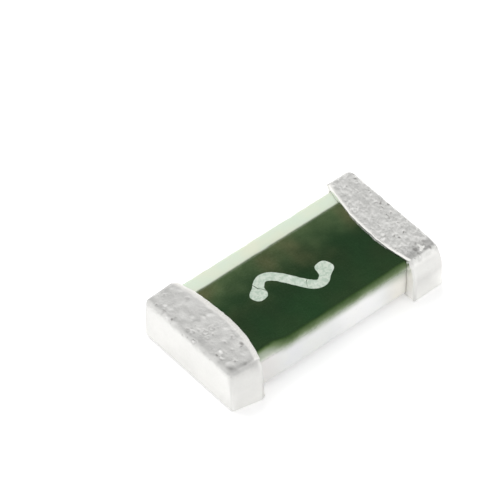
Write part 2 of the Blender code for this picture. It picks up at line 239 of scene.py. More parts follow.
WRAPS = (
    Wrap(
        "left",
        side=-1,
        bow_radius=2.44 * MM,
        bow_centre=0.10 * MM,
        bulge_at_end=0.0,
        wrinkled=0.0,
        creep=0.040 * MM,
        flare=0.0,
        slope=0.050 * MM,
        tilt=math.radians(25.0),
        fall=0.020 * MM,
        painted_end_shade=0.13,
        painted_side_light=(0.90, 0.78, 0.68, 0.655),
        marks=(
            (-1.154, -0.481, 0.045, 0.065, -0.8, -1.10),
            (-1.327, -0.740, 0.100, 0.060, -0.5, -0.55),
            (-1.490, -0.690, 0.065, 0.090, -0.5, -0.50),
            (-1.130, -0.680, 0.050, 0.050, -0.4, -0.75),
            (-1.500, -0.428, 0.030, 0.040, -0.8, -1.00),
            (-1.540, 0.330, 0.040, 0.050, -0.8, -1.00),
            (-1.490, 0.500, 0.070, 0.060, -0.4, -0.45),
            (-1.454, 0.556, 0.032, 0.032, 1.6, 0.60),
            (-1.465, 0.056, 0.030, 0.036, 1.4, 0.50),
            (-1.431, -0.418, 0.034, 0.042, 1.8, 0.95),
        ),
        seed=11,
    ),
    Wrap(
        "right",
        side=1,
        bow_radius=2.89 * MM,
        bow_centre=-0.15 * MM,
        bulge_at_end=0.9,
        wrinkled=0.8,
        creep=0.0,
        flare=0.030 * MM,
        slope=0.014 * MM,
        tilt=math.radians(26.0),
        fall=0.0,
        painted_end_shade=0.05,
        painted_side_light=(0.95, 0.72, 0.78, 1.00),
        marks=(
            # The first three marks paint a white glint on a raised nick at the front corner, and the next
            # three the painted shade round it.
            (1.394, -0.668, 0.026, 0.058, 1.4, 2.20),
            (1.410, -0.706, 0.050, 0.026, 1.4, 2.20),
            (1.362, -0.724, 0.034, 0.038, 1.4, 2.20),
            (1.310, -0.672, 0.055, 0.040, -0.9, -0.75),
            (1.478, -0.644, 0.045, 0.050, -0.7, -0.70),
            (1.478, -0.765, 0.035, 0.050, -0.7, -0.90),
            (1.277, -0.358, 0.036, 0.036, -0.9, -0.60),
            (1.410, -0.103, 0.030, 0.050, -0.9, -0.55),
            (1.433, -0.314, 0.030, 0.045, -0.9, -0.55),
            (1.200, -0.280, 0.040, 0.030, -0.8, -0.50),
            (1.230, -0.120, 0.032, 0.040, -0.6, -0.45),
        ),
        seed=47,
    ),
)


# Settings


def colour_setting(name, default, description):
    """A colour that a user can change."""
    return FloatVectorProperty(
        name=name, description=description, subtype="COLOR", default=default, min=0.0, max=1.0
    )


def number_setting(name, default, least, description, **more):
    """A number that a user can change."""
    return FloatProperty(name=name, description=description, default=default, min=least, **more)


def size_setting(*words, **more):
    """A length that a user can change, given like a number."""
    return number_setting(*words, unit="LENGTH", precision=6, **more)


class CeramicSettings(bpy.types.PropertyGroup):
    """The ceramic plate."""

    colour: colour_setting("Ceramic", (0.84, 0.85, 0.83), "Colour of the bare ceramic")
    strip_colour: colour_setting(
        "Bare strip", (0.69, 0.78, 0.655), "Colour of the ceramic beside the coat, tinged by its green"
    )
    grain: size_setting("Grain", 0.0012 * MM, 0.0, "Depth of the fired grain on the plate's faces")
    feather: size_setting(
        "Feather", 0.24 * MM, 0.01 * MM, "How far the coat's green fades down the front wall"
    )


class CoatSettings(bpy.types.PropertyGroup):
    """The green coat."""

    colour: colour_setting("Coat", (0.0095, 0.033, 0.0085), "Main colour of the glassy coat")
    olive: colour_setting("Olive patches", (0.080, 0.106, 0.045), "Colour of the thinner, browner patches")
    front_round: size_setting(
        "Front round", 0.075 * MM, 0.05 * MM, "Radius of the coat where it laps over the plate's front edge"
    )
    ripple: size_setting("Ripple", 0.0010 * MM, 0.0, "Depth of the faint waves in the coat's surface")


class MarkSettings(bpy.types.PropertyGroup):
    """The printed mark, a plain wave between two dots."""

    colour: colour_setting("Ink", (0.60, 0.67, 0.58), "Colour of the printed ink")
    length: size_setting("Length", 0.96 * MM, 0.2 * MM, "Length of the wave along the chip")
    height: size_setting("Wave height", 0.25 * MM, 0.0, "How far the wave swings to each side")
    stroke: size_setting("Stroke", 0.13 * MM, 0.02 * MM, "Width of the printed line")
    film: size_setting("Film", 0.004 * MM, 0.001 * MM, "Thickness of the ink above the coat")


class EndSettings(bpy.types.PropertyGroup):
    """The wrapped ends."""

    colour: colour_setting("Tin", (0.93, 0.925, 0.90), "Colour of the matte tin")
    rim_radius: size_setting(
        "Rim radius", 0.018 * MM, 0.012 * MM, "Radius of the bead along the inner edge", max=0.022 * MM
    )
    grain: size_setting(
        "Grain", 0.0080 * MM, 0.0, "Depth of the tin's grain on the top faces", max=0.0085 * MM
    )


class StageSettings(bpy.types.PropertyGroup):
    """Floor, lamps and camera."""

    lens: number_setting("Lens", 350.0, 50.0, "Focal length of the camera", subtype="DISTANCE_CAMERA")
    frame_width: size_setting("Frame width", 5.865 * MM, MM, "Width that the picture covers at the chip")
    key_strength: number_setting("Key lamp", 1.55, 0.0, "Strength of the main lamp")
    sky_strength: number_setting("Sky", 0.52, 0.0, "Strength of the even light")
    patch_tone: number_setting(
        "Grey patch", 0.68, 0.0, "Tone of the soft patch of sky that the metal tops mirror", max=1.0
    )


class ChipFuseSettings(bpy.types.PropertyGroup):
    """All the settings, one group for each operator."""

    ceramic: PointerProperty(type=CeramicSettings)
    coat: PointerProperty(type=CoatSettings)
    mark: PointerProperty(type=MarkSettings)
    ends: PointerProperty(type=EndSettings)
    stage: PointerProperty(type=StageSettings)


# Meshes


def add_thing(name, data):
    """A new object of the scene."""
    thing = bpy.data.objects.new(name, data)
    bpy.context.scene.collection.objects.link(thing)
    return thing


def new_piece(name, vertices, faces, layers=None):
    """A shaded mesh object in metres, with its faces turned outwards and one point attribute for each
    layer."""
    mesh = bpy.data.meshes.new(name)
    mesh.from_pydata(vertices.tolist(), [], faces)
    form = bmesh.new()
    form.from_mesh(mesh)
    if form.calc_volume(signed=True) < 0.0:
        mesh.flip_normals()
    form.free()
    for layer, values in (layers or {}).items():
        mesh.attributes.new(layer, "FLOAT", "POINT").data.foreach_set("value", values.astype(np.float32))
    mesh.shade_smooth()
    return add_thing(name, mesh)


def gathered(rows):
    """The values of rows of points as one list, with the first and the last row gathered to one point
    each."""
    return np.concatenate((rows[:1, 0], rows[1:-1].reshape(-1, *rows.shape[2:]), rows[-1:, 0]))


def closed_tube(rings):
    """Vertices and faces of a skin of rings whose first and last ring are each a single point."""
    count, around = rings.shape[:2]
    here = np.arange(around)
    ahead = np.roll(here, -1)
    start = 1 + np.arange(count - 3)[:, None] * around
    quads = np.stack((start + here, start + ahead, start + around + ahead, start + around + here), axis=-1)
    first = np.stack((np.zeros_like(here), 1 + ahead, 1 + here), axis=-1)
    last_ring = 1 + (count - 3) * around
    tip = np.full_like(here, 1 + (count - 2) * around)
    last = np.stack((last_ring + here, last_ring + ahead, tip), axis=-1)
    return gathered(rings), quads.reshape(-1, 4).tolist() + first.tolist() + last.tolist()


def grid_quads(index):
    """The four corners of each cell of a grid of vertex numbers."""
    corners = (index[:-1, :-1], index[1:, :-1], index[1:, 1:], index[:-1, 1:])
    return np.stack(corners, axis=-1).reshape(-1, 4)


def sheet_points(upper, lower):
    """The values of a closed sheet's points: all of its upper grid, then the inside of its lower grid."""
    inside = lower[1:-1, 1:-1]
    return np.concatenate((upper.reshape(-1, *upper.shape[2:]), inside.reshape(-1, *inside.shape[2:])))


def closed_sheet(upper, lower):
    """Vertices and faces of a closed sheet between two grids, which share the border of the upper one."""
    rows, columns = upper.shape[:2]
    top = np.arange(rows * columns).reshape(rows, columns)
    under = top.copy()
    under[1:-1, 1:-1] = rows * columns + np.arange((rows - 2) * (columns - 2)).reshape(rows - 2, columns - 2)
    faces = np.concatenate((grid_quads(top), grid_quads(under)[:, ::-1]))
    return sheet_points(upper, lower), faces.tolist()


def outward(rings, centre):
    """The unit normals of rings of points: the cross product of the steps along and round them, turned away
    from a centre."""
    along = np.gradient(rings, axis=0)
    around = np.roll(rings, -1, axis=1) - np.roll(rings, 1, axis=1)
    normals = np.cross(along, around)
    length = np.linalg.norm(normals, axis=-1, keepdims=True)
    normals = np.divide(normals, length, out=np.zeros_like(normals), where=length > 0.0)
    facing = np.sign(np.sum(normals * (rings - centre), axis=-1, keepdims=True))
    return normals * facing


class Section(NamedTuple):
    """The way round a rounded rectangle in the YZ plane. Across and up say where each column's straight run
    lies, from -1 to 1, and turn is the angle that the column faces."""

    across: np.ndarray
    up: np.ndarray
    turn: np.ndarray

    def points(self, half_width, half_height, radius, middle):
        """Y and Z of the columns: across or up times the half size less the radius, plus the radius along
        the cosine or sine of turn."""
        y = self.across * (half_width - radius) + radius * np.cos(self.turn)
        z = middle + self.up * (half_height - radius) + radius * np.sin(self.turn)
        return y, z


def new_section(side_steps, top_steps, bottom_steps, corner_steps):
    """A section with these numbers of columns on each side and corner, from the rear face over the top."""
    across, up, turn = [], [], []
    for quarter, steps in enumerate((side_steps, top_steps, side_steps, bottom_steps)):
        facing = quarter * QUARTER
        run = np.concatenate((np.linspace(-1.0, 1.0, steps, endpoint=False), np.ones(corner_steps)))
        bend = np.linspace(0.0, QUARTER, corner_steps, endpoint=False)
        across.append(math.cos(facing) - run * math.sin(facing))
        up.append(math.sin(facing) + run * math.cos(facing))
        turn.append(facing + np.concatenate((np.zeros(steps), bend)))
    return Section(np.concatenate(across), np.concatenate(up), np.concatenate(turn))


# Ceramic plate


def cover_of_coat(points, feather):
    """How bare the ceramic is, from 0 under the coat to 1: a smooth step down the front wall, which begins
    near the top's front edge and sooner by the left wrap, and another across the coat's rear edge. Noise
    moves both a little."""
    x, y, z = np.moveaxis(points, -1, 0)
    drift = 0.018 * MM * cloud(points, 0.16, 5) + 0.006 * MM * cloud(points, 0.04, 6)
    reach_down = feather * (1.0 + 0.35 * smooth_step(0.6 * MM, 1.1 * MM, x))
    down = smooth_step(-0.45, 1.05, (PLATE_TOP - z + drift) / reach_down)
    rear = smooth_step(-0.004 * MM, 0.042 * MM, y - COAT_REAR + 0.3 * drift)
    from_front = y - PLATE_LOW[1] + drift
    front_wall = y < PLATE_LOW[1] + PLATE_EDGE_RADIUS
    on_top = np.maximum(rear, down * smooth_step(0.085 * MM, 0.015 * MM, from_front))
    bare = np.where(z < PLATE_TOP - PLATE_EDGE_RADIUS, np.where(front_wall, down, 1.0), on_top)
    early = smooth_step(-0.65 * MM, -1.05 * MM, x) * smooth_step(0.13 * MM, 0.03 * MM, from_front)
    return np.minimum(bare + 0.32 * early, 1.0)


def ceramic_rings(section, end_steps, length_steps):
    """The plate as rings along X. At each end the ring grows from the middle of the face, then the edge
    turns by a quarter circle, and between the ends the rings keep the plate's full size."""
    radius = PLATE_EDGE_RADIUS
    turn = np.linspace(0.0, QUARTER, end_steps)
    grow = np.linspace(0.0, 1.0, end_steps, endpoint=False)
    inset = np.concatenate((np.full(end_steps, radius), radius * (1.0 - np.sin(turn))))
    depth = np.concatenate((np.zeros(end_steps), radius * (1.0 - np.cos(turn))))
    size = np.concatenate((grow, np.ones(end_steps)))
    run = np.linspace(-PLATE_HALF[0] + radius, PLATE_HALF[0] - radius, length_steps)[1:-1]
    x = np.concatenate((depth - PLATE_HALF[0], run, PLATE_HALF[0] - depth[::-1]))[:, None]
    inset = np.concatenate((inset, np.zeros(len(run)), inset[::-1]))[:, None]
    size = np.concatenate((size, np.ones(len(run)), size[::-1]))[:, None]
    corner = radius * (1.0 - 0.5 * inset / radius)
    half_width, half_height = size * (PLATE_HALF[1] - inset), size * (PLATE_HALF[2] - inset)
    return points_of(x, *section.points(half_width, half_height, size * corner, PLATE_MIDDLE))


def build_ceramic(settings):
    """The plate with a fired grain and small chips along its edges. Its attributes say how bare each point
    is and how much of it belongs to the strip beside the coat."""
    section = new_section(side_steps=40, top_steps=90, bottom_steps=60, corner_steps=6)
    rings = ceramic_rings(section, end_steps=4, length_steps=190)
    edge = 2.0 * np.abs(np.sin(section.turn) * np.cos(section.turn))
    grain = 0.5 + 0.25 * (cloud(rings, 0.030, 1) + cloud(rings, 0.075, 2))
    chips = smooth_step(0.15, 0.7, cloud(rings, 0.09, 3)) + 0.4 * (cloud(rings, 0.03, 4) + 1.0)
    sunk = settings.grain * grain + edge * 0.004 * MM * chips
    end_face = np.abs(rings[..., 0]) > PLATE_HIGH[0] - PLATE_EDGE_RADIUS
    sunk[end_face] = 0.0
    shaped = rings - outward(rings, np.array((0.0, 0.0, PLATE_MIDDLE))) * sunk[..., None]
    vertices, faces = closed_tube(shaped)
    bare = gathered(cover_of_coat(rings, settings.feather))
    strip = smooth_step(PLATE_TOP - 0.03 * MM, PLATE_TOP - 0.005 * MM, vertices[:, 2])
    return new_piece("ceramic_body", vertices, faces, {"bare": bare, "strip": strip})


# Green coat


def quarter_ellipse(distance, width):
    """A quarter ellipse from 0 at an edge to 1 at a width from it."""
    run = np.clip(distance / width, 0.0, 1.0)
    return np.sqrt(np.clip(1.0 - (1.0 - run) ** 2, 0.0, 1.0))


def coat_height(x, y):
    """Height of the coat's top: flat, plus a swell over the glass dab that falls off as the square of a
    cosine both ways, all times a quarter ellipse at the ends and the rear edge."""
    along = np.clip(np.abs(x) / (DAB_HIGH[0] + COAT_SWELL_MARGIN), 0.0, 1.0)
    across = np.clip(np.abs(y) / (DAB_HIGH[1] + COAT_SWELL_MARGIN), 0.0, 1.0)
    swell = (np.cos(along * QUARTER) * np.cos(across * QUARTER)) ** 2
    full = FLAT_COAT_TOP - PLATE_TOP + (COAT_HIGH[2] - FLAT_COAT_TOP) * swell
    at_ends = quarter_ellipse(np.minimum(x - COAT_LOW[0], COAT_HIGH[0] - x), COAT_SHOULDER)
    at_rear = quarter_ellipse(COAT_REAR - y, COAT_SHOULDER)
    return PLATE_TOP + full * at_ends * at_rear


def coat_bed(x, y):
    """The surface that the coat lies on: the highest of the plate, the contacts' bars, the link and the half
    ellipsoid of the glass dab, each with the layers' gap."""
    bed = np.full(np.broadcast(x, y).shape, PLATE_TOP + LAYER_GAP)
    in_link = (np.abs(x) < LINK_HIGH[0]) & (np.abs(y) < LINK_HIGH[1])
    bed = np.where(in_link, LINK_HIGH[2] + LAYER_GAP, bed)
    in_bar = (np.abs(x) > DAB_HIGH[0]) & (np.abs(y) < PLATE_HIGH[1] - COAT_SHOULDER)
    bed = np.where(in_bar & ~in_link, CONTACT_TOP + LAYER_GAP, bed)
    ball = 1.0 - (x / DAB_HIGH[0]) ** 2 - (y / DAB_HIGH[1]) ** 2
    dab = PLATE_TOP + (DAB_HIGH[2] - PLATE_TOP + LAYER_GAP) * np.sqrt(np.clip(ball, 0.0, 1.0))
    return np.maximum(bed, dab)


def build_coat(settings, feather):
    """The coat as a sheet: its section runs up the front wall, round a quarter circle and over the top to
    the rear edge, and its underside follows the plate's edge and the layers below."""
    front = PLATE_LOW[1]
    radius = settings.front_round
    wall_steps, turn_steps = 4, 14
    x = (COAT_LOW[0] + (COAT_HIGH[0] - COAT_LOW[0]) * eased(200))[:, None]
    turn = np.linspace(math.pi, QUARTER, turn_steps)
    centre_y = front - COAT_FILM_IN_FRONT + radius
    centre_z = FLAT_COAT_TOP - radius
    foot = centre_z - COAT_REACH_DOWN
    wall_z = np.linspace(foot, centre_z, wall_steps + 1)[:-1]
    top_y = centre_y + (COAT_REAR - centre_y) * np.sin(np.linspace(0.0, QUARTER, 120))[1:]

    def section_of(wall_y, turn_y, turn_z, top_z):
        """Y and Z up the wall, round the turn and over the top."""
        y = np.concatenate((np.full(wall_steps, wall_y), turn_y, top_y))[None, :]
        return y, np.concatenate((wall_z, turn_z, np.full(len(top_y), top_z)))

    flat_y, flat_z = section_of(
        front - COAT_FILM_IN_FRONT,
        centre_y + radius * np.cos(turn),
        centre_z + radius * np.sin(turn),
        FLAT_COAT_TOP,
    )
    y = np.broadcast_to(flat_y, (len(x), flat_y.shape[1])).copy()
    rise = coat_height(x, y) - FLAT_COAT_TOP
    z = flat_z[None, :] + rise * smooth_step(0.0, 1.0, (flat_z - foot) / (FLAT_COAT_TOP - foot))[None, :]
    at_foot = smooth_step(3.0, 0.0, np.arange(flat_y.shape[1]))[None, :]
    z = z + at_foot * 0.008 * MM * cloud(points_of(x, 0.0, 0.0), 0.11, 21)
    upper = points_of(x, y, z)
    ripple = settings.ripple * (cloud(upper, 0.22, 22) + 0.4 * cloud(upper, 0.07, 23) - 1.4)
    upper[..., 2] += ripple * smooth_step(0.5, 1.0, (z - foot) / (FLAT_COAT_TOP - foot))
    upper[:, 0, 1] = front - COAT_FOOT_FILM

    bed_radius = PLATE_EDGE_RADIUS + COAT_BED_GAP
    bed_y, bed_z = section_of(
        front - COAT_BED_GAP,
        front + PLATE_EDGE_RADIUS + bed_radius * np.cos(turn),
        PLATE_TOP - PLATE_EDGE_RADIUS + bed_radius * np.sin(turn),
        PLATE_TOP,
    )
    on_top = np.arange(bed_y.shape[1])[None, :] >= wall_steps + turn_steps
    bed_y = np.broadcast_to(bed_y, y.shape)
    under = np.where(on_top, np.minimum(coat_bed(x, bed_y), z - LEAST_FILM), bed_z[None, :])

    vertices, faces = closed_sheet(upper, points_of(x, bed_y, under))
    bare = cover_of_coat(upper, feather)
    strip = smooth_step(PLATE_TOP - 0.07 * MM, PLATE_TOP + 0.02 * MM, vertices[:, 2])
    return new_piece("glassy_coat", vertices, faces, {"bare": sheet_points(bare, bare), "strip": strip})


# Printed mark


def build_mark(settings):
    """A ribbon of ink along one sine wave. Its half width is the stroke's, swollen by a bell curve near each
    end and closed by a quarter ellipse, and its section is a low crown. Two cracks cross it."""
    middle = np.array((-0.09, -0.10)) * MM
    steps = 320
    share = 0.5 * eased(steps) + 0.5 * np.linspace(0.0, 1.0, steps)
    across = np.sin(np.linspace(-QUARTER, QUARTER, 27))[None, :]
    wave_x = middle[0] + (share - 0.5) * settings.length
    line = np.stack((wave_x, middle[1] + settings.height * np.sin(2 * math.pi * share)), axis=-1)
    step = np.gradient(line, axis=0)
    travelled = np.concatenate(([0.0], np.cumsum(np.linalg.norm(np.diff(line, axis=0), axis=-1))))
    side = np.stack((-step[:, 1], step[:, 0]), axis=-1) / np.linalg.norm(step, axis=-1, keepdims=True)
    to_end = np.minimum(travelled, travelled[-1] - travelled)
    bulb = 1.0 + 0.75 * bell((to_end - 0.10 * MM) / (0.085 * MM))
    cap = quarter_ellipse(to_end, 0.09 * MM)
    wave = 1.0 + 0.05 * cloud(points_of(travelled, 0.0, 0.0), 0.05, 31)
    half = (settings.stroke / 2 * bulb * cap * wave)[:, None]
    x = line[:, :1] + side[:, :1] * half * across
    y = line[:, 1:] + side[:, 1:] * half * across
    bed = coat_height(x, y)
    crown = np.clip(1.0 - across**4, 0.0, 1.0) * cap[:, None]
    place = points_of(x, y, bed)
    rough = 0.75 + 0.25 * cloud(place, 0.018, 32)
    cracks = 0.0
    for at, slant, width in ((0.63, 0.35, 0.008 * MM), (0.14, -0.5, 0.006 * MM)):
        bent = travelled[:, None] - at * travelled[-1] + half * across * slant
        bent = bent + 0.012 * MM * cloud(place, 0.03, 33)
        cracks = np.maximum(cracks, bell(bent / width))
    height = settings.film * crown * rough * (1.0 - 1.6 * cracks) - INK_EDGE_SINK
    top, underside = (points_of(x, y, bed + rise) for rise in (height, -LEAST_FILM))
    return new_piece("printed_mark", *closed_sheet(top, underside))


# Wrapped ends


def body_section(section, run_in_x):
    """Where a wrap's edge meets the body: the plate's section, lifted by the coat where it faces up."""
    y, z = section.points(PLATE_HALF[1], PLATE_HALF[2], PLATE_EDGE_RADIUS, PLATE_MIDDLE)
    lift = (coat_height(run_in_x, y) - PLATE_TOP) * smooth_step(0.3, 0.9, np.sin(section.turn))
    return y, z + lift


def inner_edge(wrap, section):
    """How far the wrap reaches in at each column: its arc, plus a creep towards the front, a flare along
    the sides and a small waver."""
    y, z = section.points(HALF_WIDTH, CHIP_HIGH[2] / 2, WRAP_EDGE_RADIUS, CHIP_HIGH[2] / 2)
    flare = wrap.flare * smooth_step(0.3, 1.0, np.abs(np.cos(section.turn)))
    place = points_of(0.0, y, z)
    waver = 0.006 * MM * wrap.cloud(place, 0.14, 0) + 0.003 * MM * wrap.cloud(place, 0.05, 1)
    return wrap.reach(y) + wrap.creep * smooth_step(0.3 * MM, -0.5 * MM, y) + flare + waver


def rim_profile(wrap, radius):
    """The distance along the chip and the drop at each step of the rim's profile, and the angle there. The
    angle grows to that of the slope over a shoulder, stays for the slope's length and grows on to a right
    angle, and the profile is the running sum of the steps' cosines and sines."""
    to_slope = np.linspace(0.0, wrap.tilt, 4)
    to_right_angle = np.linspace(wrap.tilt, QUARTER, 8)[1:]
    angle = np.concatenate((to_slope, np.full(3, wrap.tilt), to_right_angle))
    length = np.concatenate(([0.0], np.diff(angle) * radius))
    length[1:4] = 0.1 * wrap.slope
    length[4:7] = wrap.slope / 3
    middle = np.concatenate(([0.0], (angle[1:] + angle[:-1]) / 2))
    along = np.cumsum(length * np.cos(middle))
    down = np.cumsum(length * np.sin(middle))
    return along[1:, None], down[1:, None], angle[1:, None]


def wrap_surface(wrap, section, settings, depth):
    """One surface of a wrap as rings, at a depth below the outer one. From the middle of the end face the
    rings grow, turn the end's edge by a quarter ellipse, run along the chip to the inner edge, follow the
    rim's profile and drop to the body. It also gives the outward normals, how far each ring is held by the
    body, and each point's distance from the inner edge."""
    middle = CHIP_HIGH[2] / 2
    half_width = HALF_WIDTH - depth
    half_height = middle - depth
    sideways = np.cos(section.turn) ** 2
    sharpened = WRAP_CORNER_RADIUS * (0.55 + 0.75 * smooth_step(0.0, 1.0, section.up))
    side_round = np.maximum(sharpened - depth, LEAST_RADIUS)
    top_round = max(1.4 * WRAP_EDGE_RADIUS - depth, LEAST_RADIUS)
    corner = np.maximum(WRAP_EDGE_RADIUS * (0.8 + 0.2 * section.up) - depth, LEAST_RADIUS)
    rim_along, rim_down, rim_angle = rim_profile(wrap, settings.rim_radius)
    shrink = max(1.0 - depth / rim_down[-1, 0], 0.15)
    rim_along, rim_down = rim_along * shrink, rim_down * shrink
    rim = rim_along[-1]
    end_round = side_round * sideways + top_round * (1.0 - sideways)
    reach = inner_edge(wrap, section) - depth

    end_rings, edge_rings, face_rings, drop_rings = 26, 12, 55, 6
    grow = np.linspace(0.0, 1.0, end_rings)[:, None] ** 0.8
    turn = np.linspace(0.0, QUARTER, edge_rings + 1)[1:, None]
    run = np.linspace(0.0, 1.0, face_rings + 1)[1:, None]
    drop = np.linspace(0.0, 1.0, drop_rings + 1)[1:, None]

    inset = np.concatenate((np.ones_like(grow), 1.0 - np.sin(turn), np.zeros_like(run)))
    size = np.concatenate((grow, np.ones_like(turn), np.ones_like(run)))
    softer = np.concatenate((0.6 * grow, 0.6 + 0.4 * np.sin(turn), np.ones_like(run)))
    on_end = np.full((end_rings, len(section.turn)), depth)
    on_edge = depth + end_round * (1.0 - np.cos(turn))
    on_faces = depth + end_round + (reach - rim - depth - end_round) * run
    block_width = size * (half_width - side_round * inset)
    block_height = size * (half_height - top_round * inset)
    block_y, block_z = section.points(block_width, block_height, softer * corner, middle)
    curl_radius = np.maximum(corner - rim_down, LEAST_RADIUS / 2)
    curl_y, curl_z = section.points(half_width - rim_down, half_height - rim_down, curl_radius, middle)
    foot_y, foot_z = body_section(section, wrap.side * (CHIP_HIGH[0] - reach))
    drop_y = curl_y[-1:] + (foot_y - curl_y[-1:]) * drop
    drop_z = curl_z[-1:] + (foot_z - curl_z[-1:]) * drop
    drop_x = np.broadcast_to(reach, drop_y.shape)

    inwards = np.concatenate((on_end, on_edge, on_faces, reach - rim + rim_along, drop_x))
    x = wrap.side * (CHIP_HIGH[0] - inwards)
    y = np.concatenate((block_y, curl_y, drop_y))
    z = np.concatenate((block_z, curl_z, drop_z))
    held = np.concatenate((np.zeros(len(inwards) - len(drop)), drop[:, 0]))[:, None]
    y = y * (1.0 + (1.0 - held) * wrap.bulge(x, z) / HALF_WIDTH)

    level = np.full_like(run, QUARTER)
    backwards = np.full_like(drop, math.pi)
    lean = np.concatenate((np.zeros_like(grow), turn, level, QUARTER + rim_angle, backwards))
    normal_y, normal_z = (np.sin(lean) * facing for facing in (np.cos(section.turn), np.sin(section.turn)))
    normals = points_of(wrap.side * np.cos(lean), normal_y, normal_z)
    return points_of(x, y, z), normals, held, np.maximum(reach - inwards, 0.0)


def sag(wrap, rings):
    """How far the dipped paste lies below the ideal block: broad waves, and a fall towards the end face's
    front corner."""
    x, y, z = np.moveaxis(rings, -1, 0)
    waves = 0.0045 * MM * (1.0 + wrap.cloud(rings, 0.36, 2))
    waves += 0.0025 * MM * (1.0 + wrap.cloud(rings, 0.14, 3))
    to_end = CHIP_HIGH[0] - wrap.side * x
    pillow = 0.008 * MM * np.clip(-y / HALF_WIDTH, 0.0, 1.0) ** 4 * smooth_step(0.12 * MM, 0.0, to_end)
    keep_flat = smooth_step(0.0, 0.10 * MM, z)
    return np.minimum((waves + pillow) * (0.25 + 0.75 * keep_flat), DEEPEST_SAG)


def fall_to_strip(wrap, rings):
    """How far the top sinks towards the bare strip, and a little towards the front."""
    y = rings[..., 1]
    rear = wrap.fall * smooth_step(COAT_REAR - 0.10 * MM, HALF_WIDTH, y)
    front = 0.008 * MM * smooth_step(0.45 * HALF_WIDTH, HALF_WIDTH, -y)
    return (rear + front) * smooth_step(0.4, 0.8, rings[..., 2] / CHIP_HIGH[2])


def tin_relief(wrap, rings, to_rim, depth):
    """The tin's own surface: lumps of two sizes, folds and a net of grooves where a warped noise crosses
    zero, both as far as the wrap is wrinkled, soft blobs where it isn't, small domes in a ring ditch, pits
    and the wrap's own marks. All of it fades out at the bead along the inner edge. It gives the depth below
    the ideal face, the grain's height, how coarse each place is, and the flecks: lighter blobs, painted
    highlights on the domes and the brightest marks, painted shade in the ditches, pits and grooves, and the
    marks' dark stains and painted shade."""
    wrinkled = wrap.wrinkled
    ragged = 0.014 * MM * wrap.cloud(rings, 0.07, 10)
    on_top = smooth_step(CHIP_HIGH[2] - 0.095 * MM, CHIP_HIGH[2] - 0.040 * MM, rings[..., 2] + ragged)
    coarse = on_top * smooth_step(0.8 * wrap.bead, 2.0 * wrap.bead, to_rim)
    lumps = 0.8 * wrap.cloud(rings, 0.085, 4)
    lumps += (0.08 + 0.40 * wrinkled) * wrap.cloud(rings, 0.028, 5)
    warp = 0.012 * MM * np.stack([wrap.cloud(rings, 0.045, step) for step in (6, 15, 16)], axis=-1)
    bent_x, bent_y, bent_z = np.moveaxis(rings + warp, -1, 0)
    folds = wrap.cloud(points_of(0.5 * (bent_x + bent_y), bent_x - bent_y, bent_z), 0.036, 8)
    folds += 0.7 * wrap.cloud(points_of(bent_x, 0.45 * bent_y, bent_z), 0.027, 17)
    groove = bell(wrap.cloud(rings + 2.0 * warp, 0.085, 7) / 0.16)
    groove *= smooth_step(-0.1, 0.4, wrap.cloud(rings, 0.10, 18))
    to_edge = np.minimum(to_rim, CHIP_HIGH[0] - wrap.side * rings[..., 0])
    crowded = 0.25 * smooth_step(0.16 * MM, 0.05 * MM, to_edge)

    def dots(warping, cell_mm, step, fewest, most):
        """How far each point is from a dot, and how much of that dot shows, more of them near an edge."""
        distance, value = nearest_dot(rings + warping * warp, cell_mm, wrap.seed + step)
        return distance, smooth_step(fewest, most, value + crowded)

    distance, shown = dots(0.6, 0.105, 9, 0.72, 0.78)
    dome = shown * (bell(distance / 0.17) - 0.5 * bell((distance - 0.34) / 0.10))
    distance, shown = dots(2.5, 0.085, 13, 0.83, 0.87)
    pit = shown * bell(distance / 0.22)
    distance, shown = dots(1.2, 0.15, 20, 0.30, 0.60)
    blob = (1.0 - wrinkled) * shown * bell(distance / 0.25)
    height = 1.3 * blob + lumps * (1.0 - 0.4 * wrinkled) + wrinkled * (0.8 * folds - 0.7 * groove)
    height += 1.5 * dome - 1.4 * pit
    # Flecks: lighter blobs, a painted highlight on each dome's top and painted shade in its ditch, the pits
    # and the grooves.
    flecks_and_painted_light = 0.50 * blob + 0.9 * dome * (1.0 - 0.5 * wrinkled) - (0.7 + 0.6 * wrinkled) * pit
    flecks_and_painted_light -= 0.45 * wrinkled * groove
    # Each mark lifts or sinks a lump and makes it lighter or darker: dark stains, painted glints and painted
    # shade.
    for x, y, half_x, half_y, mark_height, lighter in wrap.marks:
        off_x = (bent_x - x * MM) / (half_x * MM)
        off_y = (bent_y - y * MM) / (half_y * MM)
        near = np.exp(-(off_x**2) - off_y**2)
        near *= 1.6 * near - 0.6
        height += mark_height * near
        flecks_and_painted_light += lighter * near
    relief = depth * (0.55 - 0.45 * height) * (0.05 + 0.95 * coarse)
    coarseness = coarse * (0.6 + 0.4 * wrinkled)
    return np.clip(relief, 0.0, DEEPEST_GRAIN), height * coarse, coarseness, flecks_and_painted_light * coarse


